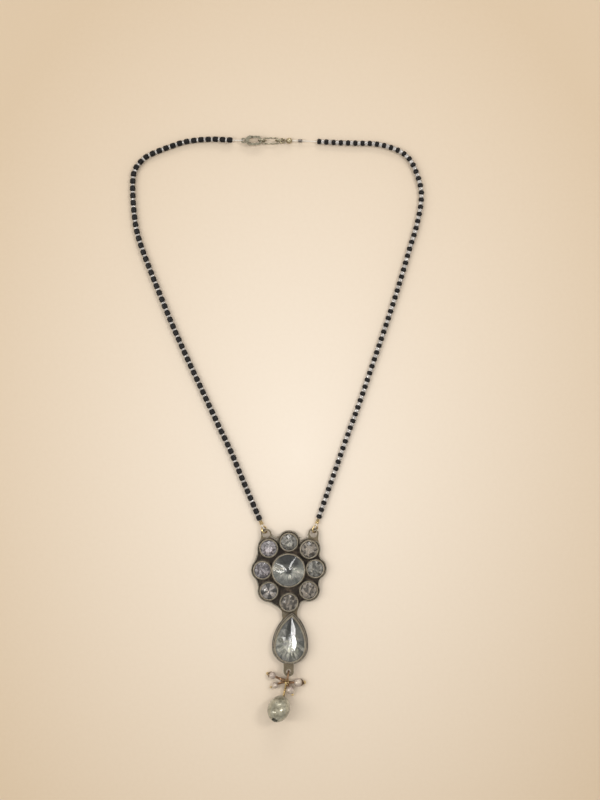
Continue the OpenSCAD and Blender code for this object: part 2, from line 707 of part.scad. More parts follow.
// Long link lying flat between two upright rings
module clasp_link() {
    start = RING_1[0] + link_reach;
    run = ring_pitch - 2 * (link_reach + link_bend_r);
    color("silver")
        translate([start + link_bend_r, CLASP[1], clasp_z - link_drop]) {
            rotate([0, 0, 90]) half_ring(link_bend_r, link_wire_r);
            translate([run, 0, 0]) rotate([0, 0, -90]) half_ring(link_bend_r, link_wire_r);
            for (side = [-1, 1])
                translate([0, side * link_bend_r, 0])
                    rotate([0, 90, 0])
                        cylinder(r = link_wire_r, h = run, $fn = WIRE_SIDES);
        }
}

module bead_tip() {
    color("burlywood")
        difference() {
            union() {
                translate(TIP_EYE) wire_ring(tip_eye_r, link_wire_r);
                translate(TIP_BALL) sphere(r = tip_ball_r);
                translate([TIP_EYE[0] + tip_eye_r, CLASP[1], TIP_EYE[2]])
                    rotate([0, 90, 0]) cylinder(r = link_wire_r * 0.9, h = tip_len - tip_eye_r);
            }
            translate(TIP_BALL) rotate([0, 90, 0]) cylinder(r = bead_bore_d / 2, h = 2 * tip_ball_r);
        }
}

module crimp() {
    color("dimgray")
        translate(CRIMP_AT - [crimp_len / 2, 0, 0])
            rotate([0, 90, 0])
                difference() {
                    cylinder(r = crimp_r, h = crimp_len);
                    translate([0, 0, -fit]) cylinder(r = bead_bore_d / 2, h = crimp_len + 2 * fit);
                }
}

function backwards(list) = [for (i = [len(list) - 1 : -1 : 0]) list[i]];

module thread_left() {
    thread_tube(concat(
        backwards(loop_points(LEFT_LOOP, LEFT_WAY, lug_loop_r)),
        LEFT_BEADS,
        loop_points(CLASP_LOOP, [-1, 0, 0], clasp_loop_r)));
}

module thread_right() {
    thread_tube(concat(
        backwards(loop_points(RIGHT_LOOP, RIGHT_WAY, lug_loop_r)),
        RIGHT_BEADS,
        [CRIMP_AT, TIP_BALL + [fit, 0, 0]]));
}

module drop_ring() {
    color("peru")
        translate(DROP_RING)
            rotate([0, 90, -drop_ring_turn])
                wire_ring(drop_ring_r, ring_wire_r);
}

function eye_turn(i) = DROPS[i][EYE_TURN];
function eye_at(turn) = DROP_RING + drop_ring_r * (cos(turn) * DROP_WAY + [0, 0, sin(turn)]);
function small_pearl_at(i) =
    [TAB[0] + DROPS[i][PEARL_AT][0], TAB[1] + DROPS[i][PEARL_AT][1], DROPS[i][PEARL_D] / 2 + fit];

// Eye of a pin round the drop ring's wire: it lies in the plane of the pin and across the wire
module pin_eye(turn, way) {
    wire_way = [0, 0, cos(turn)] - sin(turn) * DROP_WAY;
    normal = along(wire_way - (wire_way * way) * way);
    aim(eye_at(turn), normal) wire_ring(pin_eye_r, pin_r);
}

module pearl_pin(i) {
    way = along(small_pearl_at(i) - eye_at(eye_turn(i)));
    shaft = norm(small_pearl_at(i) - eye_at(eye_turn(i))) + DROPS[i][PEARL_D] / 2;
    ball_r = DROPS[i][BALL_R];
    color("goldenrod") {
        pin_eye(eye_turn(i), way);
        aim(eye_at(eye_turn(i)) + way * pin_eye_r, way)
            cylinder(r = shaft_r, h = shaft - pin_eye_r + ball_r);
        translate(eye_at(eye_turn(i)) + way * (shaft + ball_r + fit)) sphere(r = ball_r);
    }
}

module small_pearl(i) {
    way = small_pearl_at(i) - eye_at(eye_turn(i));
    color("antiquewhite")
        aim(small_pearl_at(i), way)
            difference() {
                sphere(r = DROPS[i][PEARL_D] / 2);
                cylinder(r = pin_r + pearl_gap, h = 2 * DROPS[i][PEARL_D], center = true);
            }
}

// Pin of the big pearl, bent where it leaves the pearl
module big_pearl_pin() {
    way = along(BIG_TOP - eye_at(big_eye_turn));
    color("goldenrod") {
        pin_eye(big_eye_turn, way);
        aim(eye_at(big_eye_turn) + way * pin_eye_r, way)
            cylinder(r = shaft_r, h = norm(BIG_TOP - eye_at(big_eye_turn)) - pin_eye_r);
        translate(BIG_TOP) sphere(r = big_pin_kink_r);
        aim(BIG_TOP, -BIG_AXIS) cylinder(r = shaft_r, h = big_pearl_len - big_pearl_mouth_depth);
    }
}

module big_pearl() {
    steps = 16;
    color("beige")
        aim(BIG_PEARL, -BIG_AXIS)
            difference() {
                rotate_extrude()
                    polygon([for (k = [0 : steps])
                        let (a = k * 180 / steps - 90) [big_pearl_r * cos(a), big_pearl_half * sin(a)]]);
                cylinder(r = big_pearl_bore_r, h = 2 * big_pearl_len, center = true);
                translate([0, 0, big_pearl_half - big_pearl_mouth_depth])
                    cylinder(r = big_pearl_mouth_r, h = big_pearl_half);
            }
}

pendant_setting();
centre_stone();
petal_stone(0);  // petal_stone_1
petal_stone(1);  // petal_stone_2
petal_stone(2);  // petal_stone_3
petal_stone(3);  // petal_stone_4
petal_stone(4);  // petal_stone_5
petal_stone(5);  // petal_stone_6
petal_stone(6);  // petal_stone_7
petal_stone(7);  // petal_stone_8
pear_stone();
lug_ring(LUG_LEFT, LEFT_BEADS[0]);  // lug_ring_left
lug_ring(LUG_RIGHT, RIGHT_BEADS[0]);  // lug_ring_right
thread_left();
thread_right();
bead_string(LEFT_BEADS, left_bead_len);  // beads_left
bead_string(RIGHT_BEADS, right_bead_len);  // beads_right
clasp_body();
clasp_lever();
upright_ring(RING_1);  // clasp_ring
clasp_link();
upright_ring(RING_2);  // clasp_end_ring
bead_tip();
crimp();
drop_ring();
pearl_pin(0);  // pearl_pin_1
pearl_pin(1);  // pearl_pin_2
pearl_pin(2);  // pearl_pin_3
pearl_pin(3);  // pearl_pin_4
big_pearl_pin();
small_pearl(0);  // small_pearl_1
small_pearl(1);  // small_pearl_2
small_pearl(2);  // small_pearl_3
small_pearl(3);  // small_pearl_4
big_pearl();
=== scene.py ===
import math

import bmesh
import bpy
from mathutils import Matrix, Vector, noise


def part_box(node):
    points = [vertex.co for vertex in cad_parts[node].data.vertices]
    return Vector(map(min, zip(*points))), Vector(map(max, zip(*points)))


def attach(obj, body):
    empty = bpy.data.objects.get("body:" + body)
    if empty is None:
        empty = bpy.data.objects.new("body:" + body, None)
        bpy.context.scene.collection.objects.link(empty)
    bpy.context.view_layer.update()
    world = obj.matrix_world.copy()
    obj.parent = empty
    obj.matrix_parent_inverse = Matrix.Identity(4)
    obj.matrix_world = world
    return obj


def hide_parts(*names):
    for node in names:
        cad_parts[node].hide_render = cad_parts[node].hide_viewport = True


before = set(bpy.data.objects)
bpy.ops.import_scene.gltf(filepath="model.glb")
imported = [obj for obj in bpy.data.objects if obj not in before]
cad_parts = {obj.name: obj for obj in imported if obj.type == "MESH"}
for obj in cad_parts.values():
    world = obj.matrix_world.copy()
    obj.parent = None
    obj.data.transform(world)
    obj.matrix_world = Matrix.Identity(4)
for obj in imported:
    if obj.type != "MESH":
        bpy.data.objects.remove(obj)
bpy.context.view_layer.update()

# The necklace lies on its back and is seen from straight above, so the camera looks down the Z axis.
# At VIEW_LEVEL, the height of the stones, the picture is 268 by 358 mm. Its middle is a little above and
# to the right of the necklace's own.
MM = 0.001
VIEW_HEIGHT = 700 * MM
VIEW_LEVEL = 4 * MM
VIEW_LONG_SIDE = 357.6 * MM
VIEW_MIDDLE = (10.3 * MM, 12.5 * MM)
SENSOR = 36.0

eye = bpy.data.cameras.new("eye")
eye.sensor_width = SENSOR
eye.lens = SENSOR * (VIEW_HEIGHT - VIEW_LEVEL) / VIEW_LONG_SIDE
eye_stand = bpy.data.objects.new("eye", eye)
eye_stand.location = (*VIEW_MIDDLE, VIEW_HEIGHT)
bpy.context.scene.collection.objects.link(eye_stand)
bpy.context.scene.camera = eye_stand
bpy.context.scene.view_settings.view_transform = "Standard"

# The floor under the necklace is a plain matt board of pale beige. Its colour is painted lightest near the
# middle of the picture and darker outwards, in an ellipse that is taller than it is wide: a painted pool of
# light.
PER_MM = 1 / MM
NOISE_ENDS = (0.3, 0.7)
FLOOR_SIZE = 3.0
FLOOR_DROP = 0.05 * MM
FLOOR_GLOW = (126 * MM, 179 * MM)
FLOOR_GLOW_MIDDLE = (10 * MM, -12 * MM)
PAINTED_POOL_EDGE_AT = 1.35
FLOOR_PAINTED_LIT = (0.835, 0.74, 0.625)
FLOOR_PAINTED_DIM = (0.62, 0.49, 0.345)
FLOOR_SPECK = 0.02
FLOOR_RELIEF = 0.05 * MM


def new_finish(name):
    """A material, its tree and its shader."""
    finish = bpy.data.materials.new(name)
    finish.use_nodes = True
    return finish, finish.node_tree, finish.node_tree.nodes["Principled BSDF"]


def add(tree, kind, inputs, **settings):
    """Adds a node and gives its outputs. inputs maps sockets to values or to the outputs that feed them."""
    made = tree.nodes.new(kind)
    for setting, value in settings.items():
        setattr(made, setting, value)
    wire_up(tree, made, inputs)
    return made.outputs


def wire_up(tree, made, inputs):
    for socket, value in inputs.items():
        if isinstance(value, bpy.types.NodeSocket):
            tree.links.new(value, made.inputs[socket])
        else:
            made.inputs[socket].default_value = value


def mix_colours(tree, share, first, second):
    """Colour from first at share 0 to second at share 1. Each is a colour or an output."""
    first, second = [c if isinstance(c, bpy.types.NodeSocket) else (*c, 1) for c in (first, second)]
    return add(tree, "ShaderNodeMix", {0: share, 6: first, 7: second}, data_type="RGBA")[2]


def spread(tree, value, low, high, to_low=0.0, to_high=1.0):
    """Carries value from the range low to high over to the range to_low to to_high."""
    ends = {"Value": value, "From Min": low, "From Max": high, "To Min": to_low, "To Max": to_high}
    return add(tree, "ShaderNodeMapRange", ends)["Result"]


def between(tree, share, first, second):
    """A number from first at share 0 to second at share 1."""
    return spread(tree, share, 0.0, 1.0, first, second)


def waver(tree, grains, swing):
    """Noise as a change of up to swing either way."""
    return spread(tree, grains, *NOISE_ENDS, -swing, swing)


def calc(tree, operation, *values):
    """Joins numbers or outputs by one operation, the third and later ones in turn."""
    result = add(tree, "ShaderNodeMath", dict(enumerate(values[:2])), operation=operation)[0]
    for value in values[2:]:
        result = calc(tree, operation, result, value)
    return result


def grain(tree, place, per_mm, detail=3.0, rough=0.5):
    """Noise with about per_mm grains to a millimetre."""
    inputs = {"Vector": place, "Scale": per_mm * PER_MM, "Detail": detail, "Roughness": rough}
    return add(tree, "ShaderNodeTexNoise", inputs)["Fac"]


def relief(tree, bumps, depth, strength, **edges):
    """Normal with a relief of bumps, on the normal that edges may hold."""
    inputs = {"Height": bumps, "Distance": depth, "Strength": strength, **edges}
    return add(tree, "ShaderNodeBump", inputs)["Normal"]


def rest_place(tree):
    return add(tree, "ShaderNodeTexCoord", {})["Object"]


def new_object(name, mesh):
    made = bpy.data.objects.new(name, mesh)
    bpy.context.scene.collection.objects.link(made)
    return made


board_finish, tree, shader = new_finish("pale_board")
place = rest_place(tree)
shifted = add(tree, "ShaderNodeVectorMath", {0: place, 1: (*FLOOR_GLOW_MIDDLE, 0)}, operation="SUBTRACT")[0]
scaled = add(tree, "ShaderNodeVectorMath", {0: shifted, 1: (*FLOOR_GLOW, 1)}, operation="DIVIDE")[0]
away = add(tree, "ShaderNodeVectorMath", {0: scaled}, operation="LENGTH")["Value"]
# Painted pool of light: the board's colour runs from lit at the ellipse's middle to dim at its edge.
painted_light_pool = spread(tree, away, 0.0, PAINTED_POOL_EDGE_AT)
speck = waver(tree, grain(tree, place, per_mm=0.6, detail=4.0), FLOOR_SPECK)
wire_up(tree, shader, {
    "Base Color": mix_colours(tree, calc(tree, "ADD", painted_light_pool, speck), FLOOR_PAINTED_LIT, FLOOR_PAINTED_DIM),
    "Roughness": 0.85,
    "Specular IOR Level": 0.15,
    "Normal": relief(tree, speck, FLOOR_RELIEF, strength=0.2)})
half = FLOOR_SIZE / 2
corners = [(x, y, -FLOOR_DROP) for x, y in ((-half, -half), (half, -half), (half, half), (-half, half))]
board_mesh = bpy.data.meshes.new("board")
board_mesh.from_pydata(corners, [], [(0, 1, 2, 3)])
board = new_object("board", board_mesh)
board.data.materials.append(board_finish)

# A tall window at the left, a small one at the upper right and a pale panel beyond the top light it. The
# white facet of the pear is a small lamp's reflection. The room is pale with greyer patches, and darker
# on the side below the picture.
ROOM_WHITE = (1.0, 0.985, 0.965, 1.0)
ROOM_PATCHES = 2.4
ROOM_PATCH_EDGE = (0.42, 0.58)
ROOM_BRIGHTNESS = (0.42, 1.02)
ROOM_SHADE = 0.3


def hang_panel(name, place, width, height, watts, colour):
    """A soft panel that faces the middle of the necklace."""
    lamp = bpy.data.lights.new(name, "AREA")
    lamp.shape = "RECTANGLE"
    lamp.size = width
    lamp.size_y = height
    lamp.energy = watts
    lamp.color = colour
    stand = bpy.data.objects.new(name, lamp)
    stand.location = place
    stand.rotation_euler = Vector(place).to_track_quat("Z", "Y").to_euler()
    bpy.context.scene.collection.objects.link(stand)


hang_panel("left_window", (-0.62, 0.0, 0.75), width=0.14, height=0.7, watts=3.0, colour=(1.0, 0.985, 0.96))
hang_panel("right_window", (0.5, 0.2, 0.75), width=0.2, height=0.22, watts=1.9, colour=(1.0, 0.985, 0.97))
hang_panel("top_panel", (0.1, 0.85, 0.5), width=0.5, height=0.16, watts=1.4, colour=(1.0, 0.97, 0.94))
hang_panel("small_lamp", (0.0115, -0.2093, 0.75), width=0.016, height=0.0145, watts=0.03,
           colour=(1.0, 1.0, 1.0))

room = bpy.data.worlds.new("room")
bpy.context.scene.world = room
room.use_nodes = True
tree = room.node_tree
sky_way = add(tree, "ShaderNodeTexCoord", {})["Generated"]
sky = add(tree, "ShaderNodeSeparateXYZ", {0: sky_way})
patches = add(tree, "ShaderNodeTexNoise", {"Vector": sky_way, "Scale": ROOM_PATCHES, "Detail": 1.0})["Fac"]
walls = spread(tree, patches, *ROOM_PATCH_EDGE, *ROOM_BRIGHTNESS)
near_side = calc(tree, "MULTIPLY", spread(tree, sky["Y"], -0.15, -0.5), spread(tree, sky["Z"], 1.0, 0.75))
wire_up(tree, tree.nodes["Background"], {
    "Color": ROOM_WHITE,
    "Strength": calc(tree, "SUBTRACT", walls, calc(tree, "MULTIPLY", near_side, ROOM_SHADE))})

# The setting is one casting of antiqued white metal: the flower's back plate with its raised edge, nine
# round cups, the pear cup, two lugs and a tab. Black is left in its hollows, and wear brightens its rims.
GROOVE_Z = (1.25 * MM, 1.95 * MM)
CAST_SKY_REACH = 1.3 * MM
CAST_WEAR_REACH = 0.4 * MM
CAST_EDGE_R = 0.14 * MM
CAST_RELIEF = 0.08 * MM
FLAT_TO_EDGE = (0.99, 0.8)
GRIME = (0.03, 0.022, 0.015)
BROWN = (0.15, 0.11, 0.075)
PEWTER = (0.22, 0.18, 0.12)
RUBBED = (0.97, 0.89, 0.74)


def height_at(tree, place):
    return add(tree, "ShaderNodeSeparateXYZ", {0: place})["Z"]


def open_sky(tree, reach):
    """From 0 in a deep hollow to 1 in the open, by what stands within reach."""
    return add(tree, "ShaderNodeAmbientOcclusion", {"Distance": reach}, samples=8)["AO"]


def soft_edges(tree, radius, samples):
    return add(tree, "ShaderNodeBevel", {"Radius": radius}, samples=samples)["Normal"]


def rounded(tree, radius, bumps, depth, strength):
    """Normal with edges that look rounded to radius and a relief of bumps on top."""
    return relief(tree, bumps, depth, strength, Normal=soft_edges(tree, radius, samples=4))


def near_edge(tree, radius):
    """From 0 on flats to 1 on an edge of the casting."""
    flat = add(tree, "ShaderNodeNewGeometry", {})["True Normal"]
    normals = {0: soft_edges(tree, radius, samples=6), 1: flat}
    alike = add(tree, "ShaderNodeVectorMath", normals, operation="DOT_PRODUCT")["Value"]
    return spread(tree, alike, *FLAT_TO_EDGE)


def dress(node, finish):
    """Gives a solid of the frame its finish."""
    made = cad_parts[node]
    made.data.materials.clear()
    made.data.materials.append(finish)


cast_finish, tree, shader = new_finish("antiqued_casting")
place = rest_place(tree)
raised = spread(tree, height_at(tree, place), *GROOVE_Z)
in_open = open_sky(tree, CAST_SKY_REACH)
cloud = grain(tree, place, per_mm=0.45, detail=4.0, rough=0.6)
fine = grain(tree, place, per_mm=3.5, detail=5.0, rough=0.65)
bare = calc(tree, "MULTIPLY", raised, spread(tree, in_open, 0.45, 0.95),
            spread(tree, fine, 0.3, 0.6, to_low=0.3))
rubbed = calc(tree, "MULTIPLY", near_edge(tree, CAST_WEAR_REACH), spread(tree, in_open, 0.5, 0.8),
              spread(tree, cloud, 0.3, 0.6, to_low=0.4))
in_hollow = mix_colours(tree, spread(tree, cloud, 0.5, 0.7), GRIME, BROWN)
metal = mix_colours(tree, bare, in_hollow, PEWTER)
wire_up(tree, shader, {
    "Base Color": mix_colours(tree, rubbed, metal, RUBBED),
    "Metallic": spread(tree, bare, 0.0, 0.5, 0.45, 1.0),
    "Roughness": calc(tree, "ADD", between(tree, bare, 0.62, 0.34), waver(tree, fine, 0.08)),
    "Normal": rounded(tree, CAST_EDGE_R, calc(tree, "ADD", fine, cloud), CAST_RELIEF, strength=0.7)})
dress("pendant_setting", cast_finish)

# The stones are cut glass with a silver foil on the back, pressed into their cups. The crown is clear,
# and what shines in it is the foil of the pavilion below the girdle.
PETAL_CROWN_H = 1.1 * MM
CENTRE_CROWN_H = 2.5 * MM
PEAR_CROWN_H = 1.9 * MM
FOIL_DROP = 0.27 * MM
FOIL_ROUGHNESS = 0.12
FACET_STEP = 0.03
CROWN_TONE = 0.15
CLEARNESS_SWING = 0.12
SCUFF_DEPTH = 0.003 * MM
# Painted dark reflection: the next number is how dark it makes a stone, as a share of the stone's deep
# colour.
PAINTED_DARK_FACTOR = 0.22

# A reach is the distance from a stone's middle that its painted dark reflection counts as 1, and an edge is
# where the painted dark reflection starts and where it is full.
CENTRE_REACH = 7 * MM
CRESCENT_EDGE = (0.05, 0.45)
CRESCENT_SIDES = (0.95, 0.5)
CRESCENT_DARK = 0.95
SPOT_EDGE = (0.26, 0.14)
SPOT_DARK = 0.9
PETAL_REACH = 3.6 * MM
WEDGES = 4.0
WEDGE_TURN = 0.9
WEDGE_EDGE = (0.15, 0.4)
WEDGE_DARK = 0.95
PEAR_REACH = 6.4 * MM
STREAK_SHIFT = 0.12
STREAK_SLOPE = -0.14
STREAK_EDGE = (0.36, 0.16)
STREAK_END = (-0.25, 0.1)
STREAK_DARK = 0.75

PETAL_SEED_STEP = 1.7
PETAL_LOOKS = ["clear", "lilac", "lilac", "crossed", "cloudy", "cloudy", "clear", "cloudy"]
PETAL_GLASS = {
    "clear": dict(pale=(1.0, 0.96, 0.86), deep=(0.02, 0.02, 0.012), cloudiness=0.005, clearness=0.7),
    "crossed": dict(pale=(1.0, 0.95, 0.9), deep=(0.7, 0.65, 0.6), cloudiness=0.005, clearness=0.76),
    "lilac": dict(pale=(1.0, 0.94, 0.95), deep=(0.06, 0.045, 0.05), cloudiness=0.005, clearness=0.68),
    "cloudy": dict(pale=(0.8, 0.7, 0.58), deep=(0.02, 0.016, 0.01), cloudiness=0.02, clearness=0.62)}


def cut_glass(name, girdle_z, pale, deep, cloudiness, contrast, clearness, seed, shade):
    """Worn glass above the girdle, and below it a soft mirror foil. Each facet has a painted tone of its
    own, light or dark, which stands in for the reflection the facet shows.

    The painted tones run from deep to pale, further with more contrast, and seed deals them out. clearness
    is the share of the glass that is still clear, and cloudiness makes it duller. shade(tree, place) gives
    the share of painted dark reflection at a place, or is None.
    """
    finish, tree, shader = new_finish(name)
    place = rest_place(tree)
    below = calc(tree, "LESS_THAN", height_at(tree, place), girdle_z - FOIL_DROP)
    facing = add(tree, "ShaderNodeTexCoord", {})["Normal"]
    facet = add(tree, "ShaderNodeVectorMath", {0: facing, 1: (FACET_STEP,) * 3}, operation="SNAP")[0]
    luck = add(tree, "ShaderNodeTexWhiteNoise", {"Vector": facet, "W": seed}, noise_dimensions="4D")["Value"]
    haze = grain(tree, place, per_mm=0.9)
    scuff = grain(tree, place, per_mm=6.0, detail=2.0)
    # Painted reflections: each facet's tone, light or dark at random, stands in for what the facet reflects.
    # It tints the foil and, more faintly, the crown glass.
    tone = calc(tree, "ADD", between(tree, luck, 0.5 - contrast, 0.5 + contrast), waver(tree, haze, 0.15))
    tone = calc(tree, "MAXIMUM", tone, between(tree, below, CROWN_TONE, 0.0))
    colour = mix_colours(tree, tone, deep, pale)
    # Painted dark reflection: where shade gives a share, the colour goes towards a darker copy of deep.
    if shade:
        colour = mix_colours(tree, shade(tree, place), colour, tuple(PAINTED_DARK_FACTOR * c for c in deep))
    clear_share = calc(tree, "ADD", clearness, between(tree, luck, -CLEARNESS_SWING, CLEARNESS_SWING))
    wire_up(tree, shader, {
        "Base Color": colour,
        "Metallic": below,
        "Transmission Weight": clear_share,
        "IOR": 1.56,
        "Roughness": calc(tree, "ADD", spread(tree, scuff, 0.4, 0.7, 0.0, 0.06), cloudiness,
                          between(tree, below, 0.0, FOIL_ROUGHNESS)),
        "Normal": relief(tree, scuff, SCUFF_DEPTH, strength=0.1)})
    return finish


def girdle_of(node, crown_h):
    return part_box(node)[1].z - crown_h


def middle_of(node):
    low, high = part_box(node)
    return (low + high) / 2


def from_middle(tree, place, node, reach):
    """X and Y from a stone's middle, as shares of reach."""
    away = add(tree, "ShaderNodeVectorMath", {0: place, 1: middle_of(node)}, operation="SUBTRACT")[0]
    shares = add(tree, "ShaderNodeVectorMath", {0: away, "Scale": 1 / reach}, operation="SCALE")[0]
    parts = add(tree, "ShaderNodeSeparateXYZ", {0: shares})
    return parts["X"], parts["Y"]


def centre_shade(tree, place):
    """Painted dark reflection on the foil, in a crescent at the top and in a spot under the point."""
    x, y = from_middle(tree, place, "centre_stone", CENTRE_REACH)
    crescent = calc(tree, "MULTIPLY", spread(tree, y, *CRESCENT_EDGE),
                    spread(tree, calc(tree, "ABSOLUTE", x), *CRESCENT_SIDES), CRESCENT_DARK)
    far = calc(tree, "SQRT", calc(tree, "ADD", calc(tree, "MULTIPLY", x, x), calc(tree, "MULTIPLY", y, y)))
    return calc(tree, "MAXIMUM", crescent, spread(tree, far, *SPOT_EDGE, to_high=SPOT_DARK))


def cross_shade(tree, place):
    """Painted dark reflection on the foil, in four wedges a little turned from upright."""
    x, y = from_middle(tree, place, f"petal_stone_{PETAL_LOOKS.index('crossed') + 1}", PETAL_REACH)
    turn = calc(tree, "ADD", calc(tree, "MULTIPLY", calc(tree, "ARCTAN2", y, x), WEDGES), WEDGE_TURN)
    return spread(tree, calc(tree, "SINE", turn), *WEDGE_EDGE, to_high=WEDGE_DARK)


def pear_shade(tree, place):
    """Painted dark reflection on the foil, in a streak from the point to the middle."""
    x, y = from_middle(tree, place, "pear_stone", PEAR_REACH)
    off_line = calc(tree, "ADD", x, calc(tree, "MULTIPLY", y, STREAK_SLOPE), STREAK_SHIFT)
    return calc(tree, "MULTIPLY", spread(tree, calc(tree, "ABSOLUTE", off_line), *STREAK_EDGE),
                spread(tree, y, *STREAK_END), STREAK_DARK)


petal_z = girdle_of("petal_stone_1", PETAL_CROWN_H)
for number, look in enumerate(PETAL_LOOKS, start=1):
    petal_glass = cut_glass(f"{look}_petal_{number}", petal_z, **PETAL_GLASS[look], contrast=1.0,
                            seed=number * PETAL_SEED_STEP, shade=cross_shade if look == "crossed" else None)
    dress(f"petal_stone_{number}", petal_glass)
centre_z = girdle_of("centre_stone", CENTRE_CROWN_H)
centre_glass = cut_glass("centre_glass", centre_z, pale=(1.0, 0.98, 0.91), deep=(0.26, 0.28, 0.26),
                         cloudiness=0.015, contrast=0.7, clearness=0.8, seed=0.0, shade=centre_shade)
dress("centre_stone", centre_glass)
pear_z = girdle_of("pear_stone", PEAR_CROWN_H)
pear_glass = cut_glass("pear_glass", pear_z, pale=(1.0, 0.98, 0.89), deep=(0.1, 0.11, 0.095),
                       cloudiness=0.005, contrast=1.1, clearness=0.76, seed=3.1, shade=pear_shade)
dress("pear_stone", pear_glass)

# The rings and pins are drawn wire, bent by hand: brass wire with a gold wash for the pins and the lug
# rings, and a browned copper ring for the drops.
WIRE_RELIEF = 0.02 * MM
DULL_FROM = 0.62
DULL_TO = 0.75
DULL_PULL = 0.4


def drawn_wire(name, bright, dull, dullness):
    """Metal wire whose shine goes in patches. dullness makes the dull patches larger."""
    finish, tree, shader = new_finish(name)
    place = rest_place(tree)
    patch = grain(tree, place, per_mm=1.1, detail=4.0, rough=0.6)
    fine = grain(tree, place, per_mm=7.0)
    tired = spread(tree, patch, DULL_FROM - DULL_PULL * dullness, DULL_TO - DULL_PULL * dullness)
    wire_up(tree, shader, {
        "Base Color": mix_colours(tree, tired, bright, dull),
        "Metallic": 1.0,
        "Roughness": calc(tree, "ADD", between(tree, tired, 0.2, 0.42), waver(tree, fine, 0.05)),
        "Normal": relief(tree, fine, WIRE_RELIEF, strength=0.4)})
    return finish


gold_wire = drawn_wire("gold_wire", bright=(0.78, 0.61, 0.31), dull=(0.4, 0.29, 0.15), dullness=0.35)
copper_wire = drawn_wire("copper_wire", bright=(0.6, 0.38, 0.22), dull=(0.26, 0.155, 0.09), dullness=0.55)
for node in ["lug_ring_left", "lug_ring_right", "big_pearl_pin"] + [f"pearl_pin_{n}" for n in range(1, 5)]:
    dress(node, gold_wire)
dress("drop_ring", copper_wire)

# The small pearls are drilled glass beads with a coat of pearl lacquer, which is rubbed off in spots.
# Each sits on its own pin, held by the ball at the pin's end.
PEARL_RELIEF = 0.05 * MM
SPOT_FROM = 0.66
SPOT_TO = 0.74


def pearl_coat(name, pale, tinge, spot, spotting):
    """A pearl coat that drifts from pale to tinge, with dull spots, larger with more spotting."""
    finish, tree, shader = new_finish(name)
    place = rest_place(tree)
    drift = grain(tree, place, per_mm=0.35)
    mottle = grain(tree, place, per_mm=1.3, detail=5.0, rough=0.62)
    worn = spread(tree, mottle, SPOT_FROM - spotting, SPOT_TO - spotting / 2)
    coat = mix_colours(tree, spread(tree, drift, 0.35, 0.65), pale, tinge)
    wire_up(tree, shader, {
        "Base Color": mix_colours(tree, worn, coat, spot),
        "Metallic": 0.25,
        "Roughness": between(tree, worn, 0.24, 0.5),
        "Coat Weight": 0.9,
        "Coat Roughness": 0.1,
        "Thin Film Thickness": 215.0,
        "Thin Film IOR": 1.4,
        "Normal": relief(tree, mottle, PEARL_RELIEF, strength=0.35)})
    return finish


small_coat = pearl_coat("small_pearl_coat", pale=(0.56, 0.47, 0.38), tinge=(0.38, 0.3, 0.26),
                        spot=(0.2, 0.14, 0.1), spotting=0.08)
for number in range(1, 5):
    dress(f"small_pearl_{number}", small_coat)

# The big pearl is a moulded bead, a little lumpy, whose coat has gone grey and olive. The drill hole that
# faces up has a worn rim, and inside it the mouth and the bore are coloured near black as painted shade.
# Each of the mouth's steps is a share of its radius and a rise over the rim.
PEARL_SIDES = 72
PEARL_STEPS = 40
PEARL_HALF_LONG = 6.4 * MM
PEARL_HALF_WIDE = 5.0 * MM
PEARL_BORE_R = 0.85 * MM
PEARL_BORE_START = -0.6 * PEARL_HALF_LONG
PEARL_MOUTH_R = 1.45 * MM
PEARL_MOUTH_STEPS = ((0.93, 0.02 * MM), (0.84, -0.15 * MM), (0.76, -1.3 * MM))
PEARL_MOUTH_END = -1.4 * MM
PEARL_HEADING = math.radians(246)
PEARL_TILT = math.radians(43)
PEARL_LIFT = Vector((0, 0, 0.12 * MM))
PEARL_LUMP = 0.1 * MM
WIDE_LUMPS = 0.32 * PER_MM
SMALL_LUMPS = 0.9 * PER_MM
SMALL_LUMP_SHARE = 0.35


def lathe(name, profile, middle, axis, sides, lump, core=()):
    """Turned body. profile is a closed line of (radius, place along the axis), and lump is its unevenness.

    core numbers the points of the profile that have the second finish above them.
    """
    side = axis.cross(Vector((0, 0, 1))).normalized()
    other = axis.cross(side)
    widest = max(radius for radius, along in profile)
    shape = bmesh.new()
    rings = []
    for radius, along in profile:
        ring = []
        share = min(1.0, radius / widest * 2)
        for k in range(sides):
            a = 2 * math.pi * k / sides
            out = side * math.cos(a) + other * math.sin(a)
            point = axis * along + out * radius
            uneven = noise.noise(point * WIDE_LUMPS) + noise.noise(point * SMALL_LUMPS) * SMALL_LUMP_SHARE
            ring.append(shape.verts.new(middle + point + out * lump * uneven * share))
        rings.append(ring)
    for number, (lower, upper) in enumerate(zip(rings, rings[1:] + rings[:1])):
        for k in range(sides):
            following = (k + 1) % sides
            face = shape.faces.new((lower[k], lower[following], upper[following], upper[k]))
            face.material_index = int(number in core)
            face.smooth = True
    bmesh.ops.recalc_face_normals(shape, faces=shape.faces)
    mesh = bpy.data.meshes.new(name)
    shape.to_mesh(mesh)
    shape.free()
    return new_object(name, mesh)


